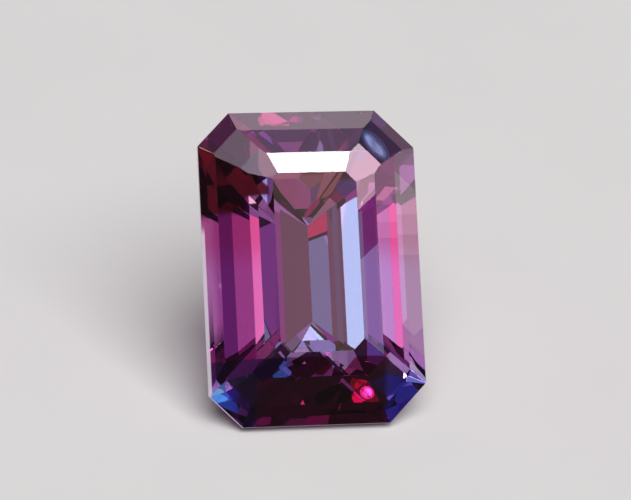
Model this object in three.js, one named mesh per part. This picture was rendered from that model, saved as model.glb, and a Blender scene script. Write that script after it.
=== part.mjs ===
// A step-cut (emerald-cut) alexandrite, one faceted crystal, in millimetres with +Z up.
//
// The stone is the space inside a set of flat cuts. It is first laid out in its cutting position: the table
// faces +Z, the girdle is at height zero and the long axis runs along Y. It is then turned on to the pavilion
// facet on which it lies, with the table leaning towards -Y, and moved so that the middle of its box stands on
// the origin. The head is the end that then points up, and the foot is the end that it lies on.
import * as THREE from "three";

// Outline of the girdle
const WIDTH = 11.0;
const LENGTH = 15.76;
const RIGHT_CORNER_CUT = 1.93;
const LEFT_CORNER_CUT = 1.63;
const GIRDLE_THICKNESS = 0.22;

// Height of each step, from the girdle up to the table and from the girdle down towards the keel
const CROWN_RISES = [0.87, 0.78, 0.44];
const PAVILION_DROPS = [1.89, 2.74];

// Angles of the steps from the girdle's plane, in degrees, in order away from the girdle
const CROWN_ANGLES = {
  right: [35, 33.5, 23],
  left: [50, 28.5, 20.5],
  head: [40.5, 31.5, 22],
  foot: [41.5, 31, 20.5],
  headRight: [38.5, 30.5, 22.5],
  footRight: [37.5, 28.5, 19],
  headLeft: [43.5, 25.5, 22],
  footLeft: [41.5, 32, 16],
};
const PAVILION_ANGLES = {
  right: [52.9, 50.1, 45.5],
  left: [48.5, 45.7, 42.5],
  head: [51, 47, 43],
  foot: [52, 47.5, 42],
  headRight: [49, 45, 39.2],
  footRight: [50, 46, 37],
  headLeft: [45.5, 41.2, 37.5],
  footLeft: [46, 41, 37],
};

// The step of the foot's pavilion on which the stone lies, counted from the girdle
const RESTING_STEP = 1;

// How much lower the middle and inner crown facets of a corner are cut than the meets beside them
const CORNER_OVERCUTS = {
  headRight: [0, 0.1, 0.15],
  headLeft: [0, 0.04, 0.06],
  footRight: [0, 0.02, 0.03],
  footLeft: [0, 0, 0.06],
};

// The keel: how far it reaches from the middle towards each end
const KEEL_REACH = 2.42;

const MEET_TOLERANCE = 1e-7;
const STONE_COLOUR = 0x7a3f78;

const radians = THREE.MathUtils.degToRad;
const SIDE_REACH = WIDTH / 2;
const END_REACH = LENGTH / 2;

// The direction in plan of each of the eight sides, and how far the girdle lies from the axis there
function sides() {
  const cornerReach = (cut) => (SIDE_REACH + END_REACH - cut) * Math.SQRT1_2;
  const rightCorner = cornerReach(RIGHT_CORNER_CUT);
  const leftCorner = cornerReach(LEFT_CORNER_CUT);
  return {
    right: { bearing: 0, reach: SIDE_REACH },
    headRight: { bearing: 45, reach: rightCorner },
    head: { bearing: 90, reach: END_REACH },
    headLeft: { bearing: 135, reach: leftCorner },
    left: { bearing: 180, reach: SIDE_REACH },
    footLeft: { bearing: 225, reach: leftCorner },
    foot: { bearing: 270, reach: END_REACH },
    footRight: { bearing: 315, reach: rightCorner },
  };
}

// A flat cut facing a bearing, at an angle from the girdle's plane, through the point at that reach and height.
// upward is 1 for a crown cut, whose normal rises, and -1 for a pavilion cut.
function cut(bearing, angle, upward, reach, height) {
  const outX = Math.cos(radians(bearing));
  const outY = Math.sin(radians(bearing));
  const sine = Math.sin(radians(angle));
  const normal = new THREE.Vector3(outX * sine, outY * sine, upward * Math.cos(radians(angle)));
  const point = new THREE.Vector3(outX * reach, outY * reach, height);
  return new THREE.Plane(normal, -normal.dot(point));
}

// The three crown cuts of one side, each starting where the one below it ends
function crownCuts(name, side) {
  const overcuts = CORNER_OVERCUTS[name] ?? CROWN_RISES.map(() => 0);
  let reach = side.reach;
  let height = 0;
  return CROWN_RISES.map((rise, step) => {
    const angle = CROWN_ANGLES[name][step];
    const plane = cut(side.bearing, angle, 1, reach, height - overcuts[step]);
    reach -= rise / Math.tan(radians(angle));
    height += rise;
    return plane;
  });
}

// Reach and height at which the pavilion's last step starts on one of the long sides
function lastStepStart(name) {
  const [outer, middle] = PAVILION_ANGLES[name];
  const [outerDrop, middleDrop] = PAVILION_DROPS;
  const inset = outerDrop / Math.tan(radians(outer)) + middleDrop / Math.tan(radians(middle));
  return { reach: SIDE_REACH - inset, height: -GIRDLE_THICKNESS - outerDrop - middleDrop };
}

// Where the last steps of the two long sides meet: the keel's distance to the right of the axis, and its height
function keelLine() {
  const right = lastStepStart("right");
  const left = lastStepStart("left");
  const rightFall = Math.tan(radians(PAVILION_ANGLES.right[2]));
  const leftFall = Math.tan(radians(PAVILION_ANGLES.left[2]));
  const x = (rightFall * right.reach - leftFall * left.reach) / (rightFall + leftFall);
  return { x, height: right.height - rightFall * (right.reach - x) };
}

// The three pavilion cuts of one side. The last cut of an end or a corner runs to the keel's end.
function pavilionCuts(name, side) {
  const [outer, middle, inner] = PAVILION_ANGLES[name];
  const [outerDrop] = PAVILION_DROPS;
  const middleReach = side.reach - outerDrop / Math.tan(radians(outer));
  const keel = keelLine();
  const toEnd = Math.sin(radians(side.bearing));
  const keelReach = Math.cos(radians(side.bearing)) * keel.x + Math.abs(toEnd) * KEEL_REACH;
  return [
    cut(side.bearing, outer, -1, side.reach, -GIRDLE_THICKNESS),
    cut(side.bearing, middle, -1, middleReach, -GIRDLE_THICKNESS - outerDrop),
    cut(side.bearing, inner, -1, keelReach, keel.height),
  ];
}

function allCuts() {
  const tableHeight = CROWN_RISES.reduce((sum, rise) => sum + rise, 0);
  const cuts = [cut(0, 0, 1, 0, tableHeight)];
  for (const [name, side] of Object.entries(sides())) {
    cuts.push(cut(side.bearing, 90, 1, side.reach, 0));
    cuts.push(...crownCuts(name, side));
    cuts.push(...pavilionCuts(name, side));
  }
  return cuts;
}

// The point shared by three cuts, or null where two of them are parallel
function meetOfThree(a, b, c) {
  const bc = b.normal.clone().cross(c.normal);
  const volume = a.normal.dot(bc);
  if (Math.abs(volume) < MEET_TOLERANCE) {
    return null;
  }
  return bc
    .multiplyScalar(-a.constant)
    .add(c.normal.clone().cross(a.normal).multiplyScalar(-b.constant))
    .add(a.normal.clone().cross(b.normal).multiplyScalar(-c.constant))
    .divideScalar(volume);
}

// Every corner of the stone: a meet of three cuts that no other cut takes off
function corners(cuts) {
  const found = [];
  const inside = (point) => cuts.every((plane) => plane.distanceToPoint(point) < MEET_TOLERANCE);
  for (let i = 0; i < cuts.length; i += 1) {
    for (let j = i + 1; j < cuts.length; j += 1) {
      for (let k = j + 1; k < cuts.length; k += 1) {
        const point = meetOfThree(cuts[i], cuts[j], cuts[k]);
        const known = point && found.some((other) => other.distanceTo(point) < 10 * MEET_TOLERANCE);
        if (point && !known && inside(point)) {
          found.push(point);
        }
      }
    }
  }
  return found;
}

// The corners on one cut, in order round its outward normal
function facetLoop(plane, points) {
  const onFacet = points
    .map((point, index) => ({ point, index }))
    .filter(({ point }) => Math.abs(plane.distanceToPoint(point)) < 10 * MEET_TOLERANCE);
  const middle = new THREE.Vector3();
  onFacet.forEach(({ point }) => middle.addScaledVector(point, 1 / onFacet.length));
  const across = new THREE.Vector3().subVectors(onFacet[0].point, middle).normalize();
  const along = plane.normal.clone().cross(across);
  const turn = ({ point }) => {
    const arm = point.clone().sub(middle);
    return Math.atan2(arm.dot(along), arm.dot(across));
  };
  return onFacet.sort((a, b) => turn(a) - turn(b)).map(({ index }) => index);
}

function stoneGeometry() {
  const cuts = allCuts();
  const points = corners(cuts);
  const triangles = [];
  for (const plane of cuts) {
    const loop = facetLoop(plane, points);
    for (let i = 1; i + 1 < loop.length; i += 1) {
      triangles.push(loop[0], loop[i], loop[i + 1]);
    }
  }
  const geometry = new THREE.BufferGeometry();
  geometry.setAttribute("position", new THREE.Float32BufferAttribute(points.flatMap((p) => p.toArray()), 3));
  geometry.setIndex(triangles);
  return geometry;
}

function alexandrite() {
  return new THREE.MeshStandardMaterial({ color: STONE_COLOUR, roughness: 0.05, metalness: 0 });
}

// Turns the stone on to a pavilion facet of its foot and stands the middle of its box on the origin
function lieOnFoot(geometry) {
  geometry.rotateX(radians(PAVILION_ANGLES.foot[RESTING_STEP]));
  geometry.computeBoundingBox();
  const { min, max } = geometry.boundingBox;
  geometry.translate(-(min.x + max.x) / 2, -(min.y + max.y) / 2, -min.z);
  geometry.computeVertexNormals();
  return geometry;
}

const stone = new THREE.Mesh(lieOnFoot(stoneGeometry()), alexandrite());
stone.name = "faceted_stone";
const model = new THREE.Group();
model.add(stone);

export default model;
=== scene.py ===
"""An alexandrite in an elongated octagonal step cut, lying on a pavilion facet under many soft lights.

The stone is cut again here from the same cutting plan as its CAD solid, with finely rounded facet edges.
It gets its crystal: clear and strongly absorbing, with its surface tint laid out in zones of painted light,
painted colour flashes in some and painted shade in others. Sizes of the stone are in millimetres in its
cutting position, where the table faces +Z, the girdle's upper edge is at height zero and the long axis is Y.
"""

import logging
import math
from dataclasses import dataclass, field
from enum import Enum
from typing import Optional, Sequence, Union

import bmesh
import bpy
from mathutils import Matrix, Quaternion, Vector


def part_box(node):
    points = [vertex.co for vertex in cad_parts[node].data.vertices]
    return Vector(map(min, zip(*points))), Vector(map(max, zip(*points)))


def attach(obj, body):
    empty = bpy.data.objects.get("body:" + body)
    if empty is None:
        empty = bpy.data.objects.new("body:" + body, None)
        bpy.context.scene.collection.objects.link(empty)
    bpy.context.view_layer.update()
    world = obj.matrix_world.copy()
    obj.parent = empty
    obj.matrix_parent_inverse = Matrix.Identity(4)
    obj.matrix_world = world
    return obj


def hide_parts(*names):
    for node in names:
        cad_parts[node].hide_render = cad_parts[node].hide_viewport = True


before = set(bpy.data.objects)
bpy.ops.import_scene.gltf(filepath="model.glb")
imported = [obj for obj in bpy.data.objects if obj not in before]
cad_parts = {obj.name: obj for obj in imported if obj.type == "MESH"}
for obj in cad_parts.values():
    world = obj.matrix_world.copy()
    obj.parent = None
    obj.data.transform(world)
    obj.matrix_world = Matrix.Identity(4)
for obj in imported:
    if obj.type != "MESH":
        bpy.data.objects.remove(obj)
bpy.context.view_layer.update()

LOG = logging.getLogger("alexandrite")
MM = 0.001
CAD_NODE = "faceted_stone"
BODY = "root"

Colour = tuple[float, float, float]
# The middle of a gradual change and half its width, in mm
Edge = tuple[float, float]


class Side(Enum):
    """The eight sides of the octagonal outline, with the bearing of each in degrees."""

    RIGHT = 0.0
    HEAD_RIGHT = 45.0
    HEAD = 90.0
    HEAD_LEFT = 135.0
    LEFT = 180.0
    FOOT_LEFT = 225.0
    FOOT = 270.0
    FOOT_RIGHT = 315.0


@dataclass(frozen=True)
class Cut:
    """One flat cut: its outward normal and a point on it."""

    normal: Vector
    point: Vector


def slanted_cut(bearing: float, angle: float, upward: int, reach: float, height: float) -> Cut:
    """A cut that faces a bearing at an angle from the girdle's plane.

    Args:
        bearing: Direction in plan that the cut faces, in degrees.
        angle: Angle from the girdle's plane, in degrees.
        upward: 1 for a crown cut, -1 for a pavilion cut.
        reach: Distance from the axis of a point on the cut, in mm.
        height: Height of that point, in mm.

    Returns:
        The cut.
    """
    out_x, out_y = math.cos(math.radians(bearing)), math.sin(math.radians(bearing))
    sine, cosine = math.sin(math.radians(angle)), math.cos(math.radians(angle))
    normal = Vector((out_x * sine, out_y * sine, upward * cosine))
    return Cut(normal, Vector((out_x * reach, out_y * reach, height)))


@dataclass
class CuttingPlan:
    """The driving sizes of the stone, as the cutter sets them, and the cuts that follow from them.

    Lengths are in mm and angles in degrees from the girdle's plane, in order away from the girdle.
    """

    width: float = 11.0
    length: float = 15.76
    right_corner_cut: float = 1.93
    left_corner_cut: float = 1.63
    girdle_thickness: float = 0.22
    crown_rises: tuple[float, ...] = (0.87, 0.78, 0.44)
    pavilion_drops: tuple[float, ...] = (1.89, 2.74)
    keel_reach: float = 2.42
    crown_angles: dict[Side, tuple[float, ...]] = field(default_factory=lambda: {
        Side.RIGHT: (35, 33.5, 23),
        Side.LEFT: (50, 28.5, 20.5),
        Side.HEAD: (40.5, 31.5, 22),
        Side.FOOT: (41.5, 31, 20.5),
        Side.HEAD_RIGHT: (38.5, 30.5, 22.5),
        Side.FOOT_RIGHT: (37.5, 28.5, 19),
        Side.HEAD_LEFT: (43.5, 25.5, 22),
        Side.FOOT_LEFT: (41.5, 32, 16),
    })
    pavilion_angles: dict[Side, tuple[float, ...]] = field(default_factory=lambda: {
        Side.RIGHT: (52.9, 50.1, 45.5),
        Side.LEFT: (48.5, 45.7, 42.5),
        Side.HEAD: (51, 47, 43),
        Side.FOOT: (52, 47.5, 42),
        Side.HEAD_RIGHT: (49, 45, 39.2),
        Side.FOOT_RIGHT: (50, 46, 37),
        Side.HEAD_LEFT: (45.5, 41.2, 37.5),
        Side.FOOT_LEFT: (46, 41, 37),
    })
    corner_overcuts: dict[Side, tuple[float, ...]] = field(default_factory=lambda: {
        Side.HEAD_RIGHT: (0, 0.1, 0.15),
        Side.HEAD_LEFT: (0, 0.04, 0.06),
        Side.FOOT_RIGHT: (0, 0.02, 0.03),
        Side.FOOT_LEFT: (0, 0, 0.06),
    })
    resting_side: Side = Side.FOOT
    resting_step: int = 1

    def reach(self, side: Side) -> float:
        """Distance of the girdle from the axis on one side, in mm."""
        if side in (Side.RIGHT, Side.LEFT):
            return self.width / 2
        if side in (Side.HEAD, Side.FOOT):
            return self.length / 2
        is_right = side in (Side.HEAD_RIGHT, Side.FOOT_RIGHT)
        corner_cut = self.right_corner_cut if is_right else self.left_corner_cut
        return (self.width / 2 + self.length / 2 - corner_cut) * math.sqrt(0.5)

    def table_height(self) -> float:
        """Height of the table above the girdle, in mm."""
        return sum(self.crown_rises)

    def crown_cuts(self, side: Side) -> list[Cut]:
        """The three crown cuts of a side, each starting where the one below it ends."""
        overcuts = self.corner_overcuts.get(side, (0.0,) * len(self.crown_rises))
        cuts, reach, height = [], self.reach(side), 0.0
        for angle, rise, overcut in zip(self.crown_angles[side], self.crown_rises, overcuts):
            cuts.append(slanted_cut(side.value, angle, 1, reach, height - overcut))
            reach -= rise / math.tan(math.radians(angle))
            height += rise
        return cuts

    def last_step_start(self, side: Side) -> tuple[float, float]:
        """Reach and height at which the pavilion's last step starts on a long side, in mm."""
        drops = list(zip(self.pavilion_angles[side], self.pavilion_drops))
        inset = sum(drop / math.tan(math.radians(angle)) for angle, drop in drops)
        return self.width / 2 - inset, -self.girdle_thickness - sum(self.pavilion_drops)

    def keel(self) -> tuple[float, float]:
        """How far the keel lies to the right of the axis, and its height, in mm."""
        right_reach, start = self.last_step_start(Side.RIGHT)
        left_reach, _ = self.last_step_start(Side.LEFT)
        right_fall = math.tan(math.radians(self.pavilion_angles[Side.RIGHT][-1]))
        left_fall = math.tan(math.radians(self.pavilion_angles[Side.LEFT][-1]))
        across = (right_fall * right_reach - left_fall * left_reach) / (right_fall + left_fall)
        return across, start - right_fall * (right_reach - across)

    def pavilion_cuts(self, side: Side) -> list[Cut]:
        """The three pavilion cuts of a side. The last cut of an end or a corner runs to the keel's end."""
        outer, middle, inner = self.pavilion_angles[side]
        top = -self.girdle_thickness
        outer_drop = self.pavilion_drops[0]
        middle_reach = self.reach(side) - outer_drop / math.tan(math.radians(outer))
        across, keel_height = self.keel()
        bearing = math.radians(side.value)
        keel_reach = math.cos(bearing) * across + abs(math.sin(bearing)) * self.keel_reach
        return [
            slanted_cut(side.value, outer, -1, self.reach(side), top),
            slanted_cut(side.value, middle, -1, middle_reach, top - outer_drop),
            slanted_cut(side.value, inner, -1, keel_reach, keel_height),
        ]

    def cuts(self) -> list[Cut]:
        """Every cut of the stone: table, crown, girdle and pavilion."""
        found = [slanted_cut(0, 0, 1, 0, self.table_height())]
        for side in Side:
            found.append(slanted_cut(side.value, 90, 1, self.reach(side), 0))
            found += self.crown_cuts(side) + self.pavilion_cuts(side)
        return found

    def resting_turn(self) -> Matrix:
        """The turn about X that brings the facet on which the stone lies to face straight down."""
        angle = self.pavilion_angles[self.resting_side][self.resting_step]
        return Matrix.Rotation(math.radians(angle), 4, "X")


class Value:
    """A shader socket in an expression. Each arithmetic step on it adds a Math node."""

    def __init__(self, recipe: "Recipe", socket: bpy.types.NodeSocket) -> None:
        """Wraps a socket of a recipe's tree."""
        self.recipe = recipe
        self.socket = socket

    def _math(self, operation: str, first: "Operand", second: "Operand" = 0.0) -> "Value":
        """Adds one Math node and returns its result."""
        return self.recipe.node("ShaderNodeMath", {"operation": operation}, {0: first, 1: second})

    def __add__(self, other: "Operand") -> "Value":
        """Sum with a value or number."""
        return self._math("ADD", self, other)

    def __sub__(self, other: "Operand") -> "Value":
        """Difference from a value or number."""
        return self._math("SUBTRACT", self, other)

    def __rsub__(self, other: "Operand") -> "Value":
        """A number minus this value."""
        return self._math("SUBTRACT", other, self)

    def __mul__(self, other: "Operand") -> "Value":
        """Product with a value or number."""
        return self._math("MULTIPLY", self, other)

    def __abs__(self) -> "Value":
        """Size without the sign."""
        return self._math("ABSOLUTE", self)

    def or_more(self, other: "Operand") -> "Value":
        """The larger of this value and another."""
        return self._math("MAXIMUM", self, other)

    def above(self, edge: float, soft: float) -> "Value":
        """A mask that rises from 0 to 1 where this value passes an edge.

        Args:
            edge: Value at the middle of the rise.
            soft: Half the width of the rise.

        Returns:
            The mask.
        """
        settings = {"interpolation_type": "SMOOTHSTEP"}
        sockets = {"Value": self, "From Min": edge - soft, "From Max": edge + soft}
        return self.recipe.node("ShaderNodeMapRange", settings, sockets)

    def below(self, edge: float, soft: float) -> "Value":
        """A mask that falls from 1 to 0 where this value passes an edge, with the arguments of above."""
        return 1 - self.above(edge, soft)


Operand = Union[Value, float, int]
Setting = Union[str, float, bool]
SocketValue = Union[Value, float, Sequence[float]]


class Recipe:
    """The node tree of a material or world, to which nodes are added in the order of use."""

    def __init__(self, tree: bpy.types.NodeTree) -> None:
        """Empties the tree."""
        self.tree = tree
        tree.nodes.clear()

    def node(
        self,
        kind: str,
        settings: Optional[dict[str, Setting]] = None,
        sockets: Optional[dict[Union[str, int], SocketValue]] = None,
        result: Union[str, int] = 0,
    ) -> Value:
        """Adds one node.

        Args:
            kind: The node's type.
            settings: Its settings, which are set before its sockets.
            sockets: Values or links of its inputs, by identifier, name or number.
            result: Identifier, name or number of the output that is returned.

        Returns:
            The chosen output.
        """
        made = self._add(kind, settings or {}, sockets or {})
        return Value(self, self._socket(made.outputs, result))

    def close(self, kind: str, sockets: dict[Union[str, int], SocketValue]) -> None:
        """Adds the tree's output node of that type and links what it shows."""
        self._add(kind, {}, sockets)

    def _add(
        self, kind: str, settings: dict[str, Setting], sockets: dict[Union[str, int], SocketValue]
    ) -> bpy.types.Node:
        """Makes a node, sets it up and fills its inputs."""
        made = self.tree.nodes.new(kind)
        for name, setting in settings.items():
            setattr(made, name, setting)
        for key, content in sockets.items():
            target = self._socket(made.inputs, key)
            if isinstance(content, Value):
                self.tree.links.new(content.socket, target)
            else:
                target.default_value = content
        return made

    @staticmethod
    def _socket(sockets: bpy.types.bpy_prop_collection, key: Union[str, int]) -> bpy.types.NodeSocket:
        """Finds a socket by number, identifier or name."""
        if isinstance(key, int):
            return sockets[key]
        return next((s for s in sockets if s.identifier == key), None) or sockets[key]

    def mix(self, factor: Operand, below: SocketValue, above: SocketValue, blend: str = "MIX") -> Value:
        """Mixes two colours.

        Args:
            factor: Share of the second colour.
            below: First colour.
            above: Second colour.
            blend: How the second is laid on the first.

        Returns:
            The mixed colour.
        """
        settings = {"data_type": "RGBA", "blend_type": blend}
        sockets = {"Factor_Float": factor, "A_Color": opaque(below), "B_Color": opaque(above)}
        return self.node("ShaderNodeMix", settings, sockets, "Result_Color")


def opaque(colour: SocketValue) -> SocketValue:
    """Adds full opacity to a plain colour, and leaves a link as it is."""
    if isinstance(colour, Value) or len(colour) == 4:
        return colour
    return (*colour, 1.0)


@dataclass(frozen=True)
class ZoneEdges:
    """Where the zones of painted light, the ground girdle and the ground rim begin and end on the stone, in
    its cutting position.

    Across is to the right of the axis, along is from the middle towards the head, and height is from the
    girdle's upper edge. The two sums set out slanting edges.
    """

    pavilion_height: Edge = (-0.1, 0.05)
    head_pavilion_along: Edge = (1.0, 1.0)
    girdle_top: Edge = (0.005, 0.01)
    girdle_bottom: Edge = (-0.225, 0.01)
    rim_across: Edge = (-5.37, 0.02)
    rim_along: Edge = (2.0, 0.3)
    head_along: Edge = (5.9, 0.4)
    left_across: Edge = (-3.33, 0.03)
    left_edge_across: Edge = (-5.05, 0.2)
    right_across: Edge = (3.0, 0.5)
    head_left_sum: Edge = (1.5, 0.1)
    head_left_across: Edge = (-3.45, 0.1)
    head_left_along: Edge = (2.6, 0.2)
    head_left_inner_across: Edge = (-2.35, 0.1)
    head_left_inner_along: Edge = (3.4, 0.12)
    head_right_across: Edge = (3.0, 0.2)
    head_right_along: Edge = (5.9, 0.15)
    behind_corner_start_sum: Edge = (8.45, 0.02)
    behind_corner_end_sum: Edge = (10.58, 0.02)
    behind_corner_difference: Edge = (1.25, 0.1)
    beside_corner_start_along: Edge = (5.62, 0.02)
    beside_corner_end_along: Edge = (6.84, 0.02)
    beside_corner_across: Edge = (1.8, 0.15)
    foot_along: Edge = (-4.65, 0.05)
    foot_right_across: Edge = (3.3, 0.25)
    foot_left_inner_across: Edge = (-1.65, 0.12)
    foot_left_inner_along: Edge = (-5.65, 0.05)
    foot_left_across: Edge = (-3.3, 0.15)
    left_corner_across: Edge = (-4.3, 0.4)
    left_corner_along: Edge = (-5.7, 0.3)
    right_corner_across: Edge = (3.5, 0.4)
    right_corner_along: Edge = (-5.3, 0.3)
    notch_middle: float = 0.83
    notch_half_width: float = 0.93
    notch_depth: float = 0.75


@dataclass(frozen=True)
class CrystalWithPaintedLight:
    """Polished alexandrite: clear crystal with a finely ground girdle. Its tint zones are painted light:
    painted colour flashes in some and painted shade in others.

    Colours are linear. Drift is how far the zones' edges wander, in mm.
    """

    ior: float = 1.75
    absorption_per_mm: Colour = (0.05, 0.11, 0.05)
    body_tint: Colour = (1.0, 1.0, 1.0)
    # Painted colour flash: pink tint over the head, standing in for light seen through the stone from one
    # view.
    head_painted_flash: Colour = (0.95, 0.75, 0.90)
    # Painted shade: dark red tint on the pavilion towards the head, which darkens the floor seen through it.
    head_pavilion_painted_shade: Colour = (0.90, 0.30, 0.40)
    # Painted colour flash and shade: dark magenta on the left crown, for the light leaving its bands in one
    # view.
    left_painted_flash: Colour = (0.50, 0.05, 0.42)
    # Painted colour flash: lighter magenta along the left edge of the crown.
    left_edge_painted_flash: Colour = (0.75, 0.25, 0.70)
    # Painted colour flash: lilac tint on the right crown bands.
    right_painted_flash: Colour = (0.88, 0.70, 1.0)
    # Painted shade: near-black red at the head's left corner, standing in for a dark reflection.
    head_left_painted_shade: Colour = (0.06, 0.001, 0.001)
    # Painted shade: dark navy at the head's right corner, which darkens light that enters there.
    head_right_painted_shade: Colour = (0.03, 0.04, 0.15)
    # Painted shade: dark burgundy over the foot, standing in for dark reflections there.
    foot_painted_shade: Colour = (0.30, 0.01, 0.05)
    # Painted shade: dark navy on the left of the foot.
    foot_left_painted_shade: Colour = (0.05, 0.05, 0.22)
    # Painted colour flash: blue at the foot's left corner, for the blue and cyan flashes there.
    left_corner_painted_flash: Colour = (0.30, 0.45, 1.0)
    # Painted colour flash: blue at the foot's right corner.
    right_corner_painted_flash: Colour = (0.35, 0.35, 0.95)
    ground_colour: Colour = (0.86, 0.80, 0.88)
    ground_roughness: float = 0.45
    ground_share: float = 0.75
    drift: float = 0.12
    cloud_scale: float = 260.0
    cloud_detail: float = 2.0
    edges: ZoneEdges = ZoneEdges()

    def dress(self, lie: Matrix) -> bpy.types.Material:
        """Builds the crystal's material.

        Args:
            lie: How the stone lies, from its cutting position.

        Returns:
            The material, with a plain absorbing volume.
        """
        material = bpy.data.materials.new("alexandrite_crystal")
        material.use_nodes = True
        recipe = Recipe(material.node_tree)
        back = lie.inverted()
        lying = recipe.node("ShaderNodeTexCoord", result="Object")
        sockets = {"Vector": lying, "Location": back.to_translation(), "Rotation": back.to_euler()}
        place = recipe.node("ShaderNodeMapping", sockets=sockets)
        across = recipe.node("ShaderNodeSeparateXYZ", sockets={0: place}, result="X") * (1 / MM)
        along = recipe.node("ShaderNodeSeparateXYZ", sockets={0: place}, result="Y") * (1 / MM)
        height = recipe.node("ShaderNodeSeparateXYZ", sockets={0: place}, result="Z") * (1 / MM)
        edges = self.edges
        colour = self._painted_light_zones(recipe, place, across, along)
        # Painted shade on the pavilion towards the head.
        head_share = along.above(*edges.head_pavilion_along)
        below = recipe.mix(head_share, self.body_tint, self.head_pavilion_painted_shade)
        colour = recipe.mix(height.below(*edges.pavilion_height), colour, below)
        density = max(self.absorption_per_mm) / MM
        kept = tuple(1 - share / MM / density for share in self.absorption_per_mm)
        sockets = {"Color": opaque(kept), "Density": density}
        volume = recipe.node("ShaderNodeVolumeAbsorption", sockets=sockets)
        sockets = {"Base Color": colour, "Roughness": 0.0, "IOR": self.ior, "Transmission Weight": 1.0}
        polished = recipe.node("ShaderNodeBsdfPrincipled", sockets=sockets)
        sockets = {"Base Color": opaque(self.ground_colour), "Roughness": self.ground_roughness}
        ground = recipe.node("ShaderNodeBsdfPrincipled", sockets=sockets)
        girdle = height.below(*edges.girdle_top) * height.above(*edges.girdle_bottom)
        rim = across.below(*edges.rim_across) * along.below(*edges.rim_along)
        share = girdle.or_more(rim) * self.ground_share
        surface = recipe.node("ShaderNodeMixShader", sockets={0: share, 1: polished, 2: ground})
        recipe.close("ShaderNodeOutputMaterial", {"Surface": surface, "Volume": volume})
        return material

    def _painted_light_zones(self, recipe: Recipe, place: Value, across: Value, along: Value) -> Value:
        """Lays zones of painted light over the body colour: painted colour flashes and painted shade.

        Args:
            recipe: The material's recipe.
            place: Position on the stone.
            across: Distance to the right of the axis.
            along: Distance from the middle towards the head.

        Returns:
            The colour of the surface.
        """
        edges = self.edges
        sockets = {"Vector": place, "Scale": self.cloud_scale, "Detail": self.cloud_detail}
        cloud = recipe.node("ShaderNodeTexNoise", sockets=sockets)
        drift = (cloud - 0.5) * self.drift
        x = across + drift
        y = along + drift
        # Painted colour flash over the head.
        colour = recipe.mix(y.above(*edges.head_along), self.body_tint, self.head_painted_flash)
        # Painted magenta flash on the left crown.
        colour = recipe.mix(x.below(*edges.left_across), colour, self.left_painted_flash)
        # Painted lighter magenta flash along the left edge.
        colour = recipe.mix(x.below(*edges.left_edge_across), colour, self.left_edge_painted_flash)
        # Painted lilac flash on the right crown.
        colour = recipe.mix(x.above(*edges.right_across), colour, self.right_painted_flash)
        # Painted shade at the head's left corner, in two overlapping zones.
        outside = (x + y).below(*edges.head_left_sum)
        corner = x.below(*edges.head_left_across) * y.above(*edges.head_left_along) * outside
        colour = recipe.mix(corner, colour, self.head_left_painted_shade)
        inner = x.below(*edges.head_left_inner_across) * y.above(*edges.head_left_inner_along)
        colour = recipe.mix(inner * outside, colour, self.head_left_painted_shade)
        # Painted shade at the head's right corner, and in the strips behind and beside it below.
        corner = x.above(*edges.head_right_across) * y.above(*edges.head_right_along)
        colour = recipe.mix(corner, colour, self.head_right_painted_shade)
        behind = (across + along).above(*edges.behind_corner_start_sum)
        behind = behind * (along - across).above(*edges.behind_corner_difference)
        behind = behind * (across + along).below(*edges.behind_corner_end_sum)
        colour = recipe.mix(behind, colour, self.head_right_painted_shade)
        beside = along.above(*edges.beside_corner_start_along) * along.below(*edges.beside_corner_end_along)
        beside = beside * across.above(*edges.beside_corner_across)
        colour = recipe.mix(beside, colour, self.head_right_painted_shade)
        # Painted shade over the foot, with a notch in its edge.
        slope = 1 - abs(x - edges.notch_middle) * (1 / edges.notch_half_width)
        notch = slope.above(0.5, 0.5) * edges.notch_depth
        foot = (y + notch).below(*edges.foot_along) * x.below(*edges.foot_right_across)
        colour = recipe.mix(foot, colour, self.foot_painted_shade)
        # Painted navy shade on the left of the foot.
        inner = x.below(*edges.foot_left_inner_across) * y.above(*edges.foot_left_inner_along)
        navy = inner.or_more(x.below(*edges.foot_left_across))
        colour = recipe.mix(foot * navy, colour, self.foot_left_painted_shade)
        # Painted blue flash at the foot's left corner.
        corner = foot * x.below(*edges.left_corner_across) * y.below(*edges.left_corner_along)
        colour = recipe.mix(corner, colour, self.left_corner_painted_flash)
        # Painted blue flash at the foot's right corner.
        corner = x.above(*edges.right_corner_across) * y.below(*edges.right_corner_along)
        return recipe.mix(corner, colour, self.right_corner_painted_flash)


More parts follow.
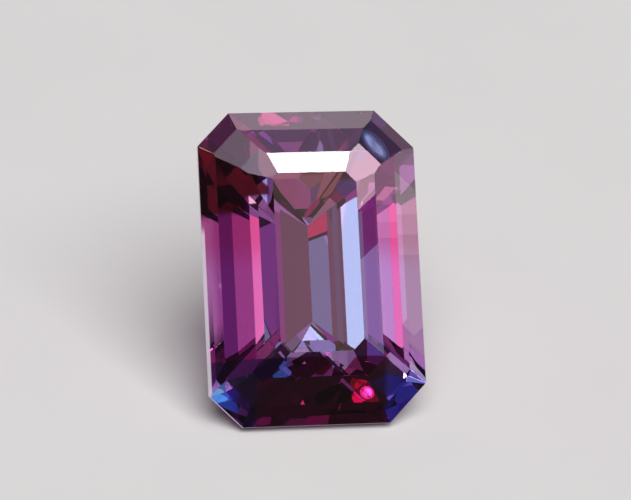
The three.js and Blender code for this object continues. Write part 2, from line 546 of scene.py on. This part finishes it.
@dataclass
class CutStone:
    """The alexandrite itself, cut from rough by the cutting plan and polished.

    Lengths are in mm. Faces that turn by less than flat_within degrees are joined into one facet.
    """

    plan: CuttingPlan = field(default_factory=CuttingPlan)
    finish: CrystalWithPaintedLight = field(default_factory=CrystalWithPaintedLight)
    rough_half_width: float = 12.0
    meet_tolerance: float = 2e-4
    edge_rounding: float = 0.012
    edge_segments: int = 2
    edge_profile: float = 0.5
    flat_within: float = 0.05

    def build(self) -> tuple[bpy.types.Object, Vector]:
        """Cuts, rounds, places and dresses the stone.

        Returns:
            The stone as it lies, riding on its body, and where the origin of its cutting position then is.
        """
        mesh = bpy.data.meshes.new("polished_stone")
        shape = self._cut_rough()
        self._round_edges(shape)
        shape.to_mesh(mesh)
        shape.free()
        mesh.transform(Matrix.Scale(MM, 4))
        place = self._resting_place(mesh)
        mesh.transform(place)
        stone = bpy.data.objects.new("polished_stone", mesh)
        bpy.context.scene.collection.objects.link(stone)
        mesh.materials.append(self.finish.dress(place))
        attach(stone, BODY)
        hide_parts(CAD_NODE)
        return stone, place.translation

    def _cut_rough(self) -> bmesh.types.BMesh:
        """Takes every cut off a block of rough and closes the stone with a facet."""
        shape = bmesh.new()
        bmesh.ops.create_cube(shape, size=2 * self.rough_half_width)
        for cut in self.plan.cuts():
            parts = shape.verts[:] + shape.edges[:] + shape.faces[:]
            sliced = bmesh.ops.bisect_plane(
                shape, geom=parts, dist=self.meet_tolerance, plane_co=cut.point, plane_no=cut.normal,
                clear_outer=True,
            )
            rim = [e for e in sliced["geom_cut"] if isinstance(e, bmesh.types.BMEdge)]
            rim = [e for e in rim if e.is_boundary]
            bmesh.ops.edgenet_fill(shape, edges=rim)
        bmesh.ops.dissolve_limit(
            shape, angle_limit=math.radians(self.flat_within), verts=shape.verts[:], edges=shape.edges[:]
        )
        bmesh.ops.recalc_face_normals(shape, faces=shape.faces[:])
        return shape

    def _round_edges(self, shape: bmesh.types.BMesh) -> None:
        """Rounds every facet edge by the little that polishing takes off."""
        bmesh.ops.bevel(
            shape, geom=shape.edges[:], offset=self.edge_rounding, offset_type="OFFSET",
            segments=self.edge_segments, profile=self.edge_profile, affect="EDGES", clamp_overlap=True,
        )
        bmesh.ops.recalc_face_normals(shape, faces=shape.faces[:])

    def _resting_place(self, mesh: bpy.types.Mesh) -> Matrix:
        """Where the stone lies: turned on to its resting facet, the middle of its box over the origin."""
        turn = self.plan.resting_turn()
        low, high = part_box(CAD_NODE)
        corners = [turn @ v.co for v in mesh.vertices]
        lowest = Vector([min(c[i] for c in corners) for i in range(3)])
        highest = Vector([max(c[i] for c in corners) for i in range(3)])
        shift = (low + high) / 2 - (lowest + highest) / 2
        return Matrix.Translation(shift) @ turn


@dataclass(frozen=True)
class PalePlaster:
    """The pale matt floor, with the faint mottling of a smoothed surface.

    The mirrored share is how bright the floor is to rays mirrored by a facet. It is kept low, so that the
    polished facets show the lights and not the floor.
    """

    colour: Colour = (0.72, 0.71, 0.70)
    mottle: float = 0.03
    roughness: float = 0.85
    mirrored_share: float = 0.03
    cloud_scale: float = 90.0
    cloud_detail: float = 5.0
    bump_strength: float = 0.08
    bump_height: float = 0.2 * MM

    def dress(self) -> bpy.types.Material:
        """Builds the floor's material."""
        material = bpy.data.materials.new("pale_plaster")
        material.use_nodes = True
        recipe = Recipe(material.node_tree)
        place = recipe.node("ShaderNodeTexCoord", result="Object")
        sockets = {"Vector": place, "Scale": self.cloud_scale, "Detail": self.cloud_detail}
        cloud = recipe.node("ShaderNodeTexNoise", sockets=sockets)
        darker = tuple(part * (1 - 2 * self.mottle) for part in self.colour)
        colour = recipe.mix(cloud, self.colour, darker)
        sockets = {"Strength": self.bump_strength, "Distance": self.bump_height, "Height": cloud}
        bump = recipe.node("ShaderNodeBump", sockets=sockets)
        mirrored = recipe.node("ShaderNodeLightPath", result="Is Glossy Ray")
        mirrored = mirrored * (1 - recipe.node("ShaderNodeLightPath", result="Is Transmission Ray"))
        dim = tuple(part * self.mirrored_share for part in self.colour)
        colour = recipe.mix(mirrored, colour, dim)
        sockets = {"Base Color": colour, "Roughness": self.roughness, "Normal": bump}
        surface = recipe.node("ShaderNodeBsdfPrincipled", sockets=sockets)
        recipe.close("ShaderNodeOutputMaterial", {"Surface": surface})
        return material


@dataclass
class Floor:
    """A round plain floor, wide enough to pass out of sight."""

    radius: float = 1.4
    facets: int = 96
    finish: PalePlaster = field(default_factory=PalePlaster)

    def build(self) -> bpy.types.Object:
        """Builds the floor."""
        mesh = bpy.data.meshes.new("studio_floor")
        shape = bmesh.new()
        bmesh.ops.create_circle(shape, cap_ends=True, segments=self.facets, radius=self.radius)
        shape.to_mesh(mesh)
        shape.free()
        floor = bpy.data.objects.new("studio_floor", mesh)
        bpy.context.scene.collection.objects.link(floor)
        mesh.materials.append(self.finish.dress())
        return floor


def direction(azimuth: float, elevation: float) -> Vector:
    """Unit direction from the stone. Azimuth 0 is towards -Y and 90 towards +X, in degrees."""
    a, e = math.radians(azimuth), math.radians(elevation)
    return Vector((math.sin(a) * math.cos(e), -math.cos(a) * math.cos(e), math.sin(e)))


class Reach(Enum):
    """What a softbox lights."""

    STONE = 1
    FLOOR = 2


@dataclass(frozen=True)
class Softbox:
    """A rectangular or round soft light that faces the stone.

    Directions, sizes and roll are in degrees as seen from the stone. Radiance is that of its face, by colour.
    """

    name: str
    azimuth: float
    elevation: float
    width: float
    height: float
    radiance: Colour
    reach: Reach = Reach.STONE
    roll: float = 0.0
    is_round: bool = False


@dataclass
class Studio:
    """The soft lights round the stone and the pale surroundings. Distances are in metres.

    All but one of the lights fall on the stone alone. Each lies where one facet, or one way through the
    stone, looks at the sky from the camera, so it sets the colour of that part of the picture.
    """

    surroundings: Colour = (0.06, 0.04, 0.06)
    backdrop: Colour = (0.80, 0.80, 0.80)
    distance: float = 1.5
    watts_per_radiance: float = math.pi
    target_height: float = 0.006
    most_bounces: int = 32
    brightest_indirect: float = 8.0
    softboxes: tuple[Softbox, ...] = (
        Softbox("floor_light", 20, 70, 60, 60, (3.4, 3.4, 3.4), Reach.FLOOR),
        Softbox("overhead", 115.1, 77.85, 4.4, 4.4, (15, 15, 15)),
        Softbox("right_high", 90, 50.6, 9, 9, (7.4, 5.4, 6.6)),
        Softbox("grey_front", 16.9, 48.3, 4.3, 3.8, (0.60, 0.46, 0.32)),
        Softbox("pale_front", 11.9, 49, 4.6, 12, (1.1, 3.7, 2.3)),
        Softbox("pale_edge", 6.4, 45.2, 2.0, 3, (0.72, 1.5, 0.8)),
        Softbox("centre_front", -0.6, 49, 3.6, 9, (0.4, 0.6, 0.5)),
        Softbox("main_front", -5.8, 49, 3.1, 9, (0.24, 0.24, 0.17)),
        Softbox("band_front", -10.2, 49, 2.36, 9, (0.24, 0.38, 0.30)),
        Softbox("slate_front", -26.35, 45.55, 1.6, 2.7, (0.34, 0.82, 0.65)),
        Softbox("red_front", -27.3, 47.9, 1.2, 1.9, (0.95, 0.14, 0.20)),
        Softbox("pink_front", -29.5, 44.9, 2.8, 4, (0.38, 0.22, 0.44)),
        Softbox("v_low", -30.3, 5.5, 4, 4, (1.0, 1.5, 1.0)),
        Softbox("v_front", -16.0, 50, 1.6, 4, (0.36, 0.20, 0.15)),
        Softbox("mauve_front", -22.2, 47.7, 2.4, 3, (0.43, 0.16, 0.38)),
        Softbox("mid_front", -20.5, 44.0, 3.0, 3.0, (0.55, 1.6, 1.25)),
        Softbox("zigzag_front", -26, 39.6, 4, 3, (0.75, 4.0, 1.1)),
        Softbox("zigzag_high", -38.1, 59.5, 3, 3, (0.63, 1.0, 0.85)),
        Softbox("zigzag_low", -31.2, 34.5, 1.5, 2, (0.53, 1.35, 0.78)),
        Softbox("blob_dim", 26.25, 49.65, 0.50, 0.50, (0.6, 0.01, 0.02), is_round=True),
        Softbox("blob_red", 26.25, 49.65, 0.34, 0.34, (3.0, 0.1, 0.9), is_round=True),
        Softbox("blob_pink", 26.22, 49.62, 0.24, 0.24, (4.0, 2.0, 3.6), is_round=True),
        Softbox("blob_core", 26.21, 49.61, 0.15, 0.15, (8.5, 16.0, 12.5), is_round=True),
        Softbox("blob_upper_dim", 19.06, 53.16, 0.44, 0.44, (0.6, 0.01, 0.02), is_round=True),
        Softbox("blob_upper", 19.06, 53.17, 0.26, 0.26, (1.8, 0.02, 0.3), is_round=True),
        Softbox("blob_middle", 20.15, 33.48, 0.36, 0.36, (4.2, 0.6, 2.2), is_round=True),
        Softbox("blob_left", -29.64, 23.75, 0.36, 0.36, (3.8, 0.1, 0.9), is_round=True),
        Softbox("low_front", -11.5, 12.2, 8, 6, (2.4, 3.3, 1.65)),
        Softbox("front_floor", -3.3, 5.8, 5, 4, (0.86, 0.7, 0.49)),
        Softbox("pale_low", 13.1, 35.75, 6, 9.5, (0.66, 2.0, 1.47)),
        Softbox("pale_lowest", 11.4, 20.1, 4, 4, (0.88, 1.95, 1.25)),
        Softbox("tip_side", -69.4, 40.6, 4, 4, (0.67, 2.2, 1.5)),
        Softbox("tip_low", 14.1, 39.3, 3, 2.5, (1.1, 4.2, 2.2)),
        Softbox("right_pink", 85.2, 13.6, 2.4, 2.6, (1.37, 0.45, 0.82)),
        Softbox("right_edge", 89.2, 10.4, 1.8, 2.6, (0.66, 0.7, 0.5)),
        Softbox("right_veil_long", 87.59, 13.20, 0.8, 1.68, (0.75, 0.37, 0.57), roll=-46),
        Softbox("right_veil", 87.69, 13.29, 0.8, 1.40, (0.75, 0.37, 0.57), roll=-46),
        Softbox("right_veil_short", 87.80, 13.40, 0.8, 1.11, (0.75, 0.37, 0.57), roll=-46),
        Softbox("edge_veil_long", 89.95, 10.83, 0.8, 1.97, (0.65, 0.45, 0.58), roll=-46),
        Softbox("edge_veil", 90.07, 10.95, 0.8, 1.62, (0.65, 0.45, 0.58), roll=-46),
        Softbox("edge_veil_short", 90.20, 11.07, 0.8, 1.28, (0.65, 0.45, 0.58), roll=-46),
        Softbox("right_magenta", 92.1, 7.3, 2.0, 3.0, (0.7, 0.55, 0.56)),
        Softbox("right_dark", 96.0, 3.6, 3.0, 4.0, (0.2, 0.11, 0.245)),
        Softbox("right_cyan", 118, 12.6, 3, 3, (0.15, 0.45, 0.50)),
        Softbox("right_cyan_spot", 117.92, 12.28, 0.30, 0.30, (0.3, 1.0, 0.5), is_round=True),
        Softbox("right_up", 70, 23.5, 10, 6, (1.1, 1.1, 2.0)),
        Softbox("right_glare", 70.9, 28.1, 4, 1.9, (5.0, 2.9, 3.7)),
        Softbox("left_a", -74, 23.5, 8, 8, (0.29, 0.09, 0.41)),
        Softbox("left_b", -81.5, 17.2, 6, 7, (0.30, 0.12, 0.33)),
        Softbox("left_c", -88.9, 10.4, 3.6, 6, (0.94, 0.88, 1.05)),
        Softbox("left_streak", -92.5, 6.75, 1.85, 1.9, (1.5, 0.55, 0.85)),
        Softbox("left_d", -94.0, 5.5, 1.4, 1.8, (0.9, 0.9, 0.95)),
        Softbox("left_end", -92.75, 4.7, 1.1, 1.2, (0.73, 0.52, 0.65)),
        Softbox("right_blue", 107, 46.5, 8, 4.6, (0.45, 1.1, 1.35)),
        Softbox("right_blue_upper", 115.4, 53.9, 1.2, 1.0, (0.4, 1.1, 1.4)),
        Softbox("right_blue_back", 142.9, 47.8, 1.2, 0.8, (0.4, 0.8, 1.3)),
        Softbox("right_blue_low", 110.0, 36.6, 1.0, 0.8, (0.4, 0.3, 1.0)),
        Softbox("right_navy", 121.8, 62.3, 1.4, 0.9, (0.0, 0.1, 0.35)),
        Softbox("right_tip_blue", -107.9, 22.3, 1.2, 1.2, (0.25, 0.7, 0.8)),
        Softbox("navy_streak", 110.17, 40.64, 0.34, 0.07, (1.6, 1.8, 3.0), roll=40.6, is_round=True),
        Softbox("navy_streak_wide", 110.17, 40.64, 0.44, 0.12, (1.5, 1.7, 3.2), roll=40.6, is_round=True),
        Softbox("navy_glow", 110.17, 40.63, 0.54, 0.18, (0.7, 0.85, 1.8), roll=40.6, is_round=True),
        Softbox("navy_glow_wide", 110.17, 40.62, 0.66, 0.27, (0.25, 0.35, 0.9), roll=40.6, is_round=True),
        Softbox("navy_fill", 110.2, 40.5, 3, 3, (0.20, 0.22, 0.40)),
        Softbox("right_crown", 111.8, 65.8, 5, 4, (1.0, 1.9, 1.2)),
        Softbox("right_blue_high", 107.7, 51, 5, 4, (0.5, 1.3, 0.95)),
        Softbox("back_high", 164.2, 46.1, 16, 12, (2.3, 1.75, 2.1)),
        Softbox("back_top", 155, 63.3, 10, 10, (1.0, 0.65, 1.1)),
        Softbox("back_left_high", -165, 68.7, 13, 8, (0.55, 0.95, 0.75)),
        Softbox("sliver_high", -148.2, 66.3, 1.6, 1.2, (0.32, 0.55, 0.41)),
        Softbox("back_right", 123, 28.4, 10, 8, (0.9, 0.6, 0.8)),
        Softbox("left_back", -135.1, 41.7, 6, 6, (0.5, 0.15, 0.4)),
        Softbox("left_top", -91, 68.5, 8, 8, (1.65, 1.2, 1.57)),
        Softbox("left_top_inner", -71.0, 71.6, 7, 7, (2.42, 2.01, 2.59)),
        Softbox("left_blue", -124.6, 49.2, 2, 1, (0.05, 0.5, 0.78)),
        Softbox("left_cyan", -120.15, 53.13, 1.4, 1.4, (0.15, 1.8, 1.5)),
        Softbox("left_cyan_spot", -120.27, 53.10, 0.36, 0.36, (0.25, 2.6, 1.0), is_round=True),
        Softbox("left_cyan_core", -120.27, 53.10, 0.20, 0.20, (0.75, 5.7, 1.4), is_round=True),
        Softbox("left_navy", -106.9, 42.85, 1, 1, (0.02, 0.1, 0.35)),
        Softbox("left_blue_low", -122, 34, 6, 6, (0.02, 0.02, 0.12)),
        Softbox("glint_dim", -133.43, 61.89, 0.36, 0.36, (0.3, 2.4, 1.4), is_round=True),
        Softbox("glint", -133.43, 61.89, 0.22, 0.22, (1.8, 10, 3.0), is_round=True),
        Softbox("glint_core", -133.43, 61.89, 0.12, 0.12, (0.5, 6, 2.5), is_round=True),
        Softbox("glint_right_dim", -150.15, 70.94, 0.36, 0.36, (0.3, 2.4, 1.4), is_round=True),
        Softbox("glint_right", -150.15, 70.94, 0.22, 0.22, (2.3, 13, 4.2), is_round=True),
        Softbox("glint_top_dim", -31.1, 60.78, 0.36, 0.36, (0.3, 1.5, 1.1), is_round=True),
        Softbox("glint_top", -31.1, 60.78, 0.20, 0.20, (1.2, 5, 2.2), is_round=True),
        Softbox("tip", -71.1, 56.3, 1.6, 1.2, (1.7, 8.0, 3.4)),
        Softbox("tip_pale", 102.6, 78.55, 1.2, 0.9, (1.1, 2.4, 1.15)),
        Softbox("right_end", 135.8, 8.0, 11, 9, (1.4, 4.5, 2.4)),
        Softbox("foot_right", 34.2, 54.7, 5, 5, (0.17, 0.19, 0.48)),
        Softbox("front_top", 4.5, 61.4, 10, 5, (0.47, 0.6, 0.2)),
        Softbox("tongue_left", -6.6, 63.8, 2.3, 0.8, (0.45, 0.75, 0.60)),
        Softbox("tongue_middle", -16.3, 63.1, 1.0, 0.7, (0.50, 0.81, 0.66)),
        Softbox("tongue_right", 18.4, 62.85, 0.9, 0.7, (0.38, 0.50, 0.50)),
        Softbox("front_left", -37.1, 41.2, 5, 5, (0.05, 0.2, 0.1)),
        Softbox("front_right", 40.85, 57.9, 1.45, 2.4, (2.36, 1.67, 1.05)),
        Softbox("front_crown", 29.2, 67.3, 5, 4, (0.85, 0.95, 0.45)),
        Softbox("head_pink", 19.3, 56.3, 4, 4, (0.8, 0.6, 0.7)),
        Softbox("pink_patch", 28.2, 35.9, 3, 3, (1.7, 1.0, 0.7)),
        Softbox("pink_patch_left", 37.35, 51.5, 0.7, 0.4, (1.7, 0.9, 0.62)),
        Softbox("pink_patch_edge", 39.95, 56.62, 0.14, 0.2, (1.2, 0.6, 0.45)),
        Softbox("pink_patch_low", -8.3, 29.05, 1, 1, (2.0, 1.5, 1.0)),
        Softbox("left_front_high", -50.8, 54.5, 6, 6, (0.05, 0.1, 0.08)),
        Softbox("left_low", -57.7, 20.5, 6, 6, (1.0, 0.75, 0.8)),
        Softbox("arm_low", -50.3, 4.6, 1.6, 0.8, (1.0, 5.1, 0.97)),
        Softbox("arm_high", -57.6, 20.35, 1.2, 0.6, (0.2, 6.9, 0.6)),
        Softbox("right_rim", 102, 29.2, 9, 15, (8, 7.5, 8)),
        Softbox("left_rim", -102, 20, 9, 22, (30, 29, 30)),
        Softbox("front_low", -26.5, 18.7, 6, 6, (1.4, 0.4, 0.6)),
        Softbox("back_blue", 146, 56.2, 5, 5, (0.07, 0.2, 0.45)),
    )

    def build(self, stone: bpy.types.Object, floor: bpy.types.Object) -> None:
        """Places the lights, the surroundings and the way light is followed.

        Args:
            stone: The stone, which alone receives most of the lights.
            floor: The floor, which has a light of its own.
        """
        receivers = {}
        for reach, lit in ((Reach.STONE, stone), (Reach.FLOOR, floor)):
            receivers[reach] = bpy.data.collections.new("lit_" + lit.name)
            receivers[reach].objects.link(lit)
        for box in self.softboxes:
            light = self._place(box)
            light.light_linking.receiver_collection = receivers[box.reach]
        self._surround()
        self._follow_light()

    def _place(self, box: Softbox) -> bpy.types.Object:
        """Hangs one softbox so that it faces the stone, and returns it."""
        width, height = (
            2 * self.distance * math.tan(math.radians(angle / 2)) for angle in (box.width, box.height)
        )
        strongest = max(box.radiance)
        lamp = bpy.data.lights.new(box.name, "AREA")
        lamp.shape = "ELLIPSE" if box.is_round else "RECTANGLE"
        lamp.size, lamp.size_y = width, height
        face = width * height * (math.pi / 4 if box.is_round else 1)
        lamp.energy = strongest * face * self.watts_per_radiance
        lamp.color = tuple(part / strongest for part in box.radiance)
        light = bpy.data.objects.new(box.name, lamp)
        bpy.context.scene.collection.objects.link(light)
        away = direction(box.azimuth, box.elevation)
        light.location = away * self.distance + Vector((0, 0, self.target_height))
        light.rotation_mode = "QUATERNION"
        rolled = Quaternion((0, 0, 1), math.radians(box.roll))
        light.rotation_quaternion = away.to_track_quat("Z", "Y") @ rolled
        light.visible_camera = False
        return light

    def _surround(self) -> None:
        """Sets the even light from all round, and the pale backdrop that the camera sees."""
        world = bpy.data.worlds.new("studio")
        world.use_nodes = True
        bpy.context.scene.world = world
        recipe = Recipe(world.node_tree)
        seen = recipe.node("ShaderNodeLightPath", result="Is Camera Ray")
        colour = recipe.mix(seen, self.surroundings, self.backdrop)
        glow = recipe.node("ShaderNodeBackground", sockets={0: colour})
        recipe.close("ShaderNodeOutputWorld", {"Surface": glow})

    def _follow_light(self) -> None:
        """Lets light be followed far enough through the stone, and shows colours as they are."""
        scene = bpy.context.scene
        cycles = scene.cycles
        cycles.max_bounces = self.most_bounces
        cycles.transmission_bounces = self.most_bounces
        cycles.glossy_bounces = self.most_bounces
        cycles.caustics_refractive = True
        cycles.caustics_reflective = True
        cycles.sample_clamp_indirect = self.brightest_indirect
        cycles.use_denoising = True
        scene.view_settings.view_transform = "Standard"


@dataclass
class StoneCamera:
    """A long lens that looks down on the table, turned a little about its own axis.

    Angles are in degrees and the distance is in metres. Lens and sensor are in mm, and so are aside and
    upward, by which the aim lies off the origin of the cutting position.
    """

    azimuth: float = -13.42
    elevation: float = 34.79
    roll: float = 6.19
    distance: float = 0.187
    lens: float = 213.9
    sensor: float = 36.0
    aside: float = 0.17
    upward: float = 0.883
    nearest: float = 0.005

    def build(self, origin: Vector) -> bpy.types.Object:
        """Places the camera and makes it the scene's own.

        Args:
            origin: Where the origin of the stone's cutting position is, which the camera is set out from.

        Returns:
            The camera.
        """
        data = bpy.data.cameras.new("stone_camera")
        data.lens, data.sensor_width = self.lens, self.sensor
        data.clip_start = self.nearest
        camera = bpy.data.objects.new("stone_camera", data)
        bpy.context.scene.collection.objects.link(camera)
        back = direction(self.azimuth, self.elevation)
        level = back.to_track_quat("Z", "Y").to_matrix().to_4x4()
        turned = level @ Matrix.Rotation(math.radians(self.roll), 4, "Z")
        right, up = turned.col[0].to_3d(), turned.col[1].to_3d()
        eye = origin + back * self.distance
        aim = origin + (right * self.aside + up * self.upward) * MM
        view = (eye - aim).normalized()
        side = up.cross(view).normalized()
        camera.matrix_world = Matrix.Translation(eye) @ Matrix(
            (side, view.cross(side), view)
        ).transposed().to_4x4()
        bpy.context.scene.camera = camera
        return camera


def main() -> None:
    """Builds the stone, its studio and the camera, and reports each piece."""
    logging.basicConfig(level=logging.INFO, format="%(name)s: %(message)s")
    stone, origin = CutStone().build()
    LOG.info("%s: %d vertices, %d faces", stone.name, len(stone.data.vertices), len(stone.data.polygons))
    floor = Floor().build()
    LOG.info("%s: stage", floor.name)
    Studio().build(stone, floor)
    LOG.info("studio: lights hung")
    camera = StoneCamera().build(origin)
    LOG.info("%s: placed", camera.name)


if __name__ == "__main__":
    main()
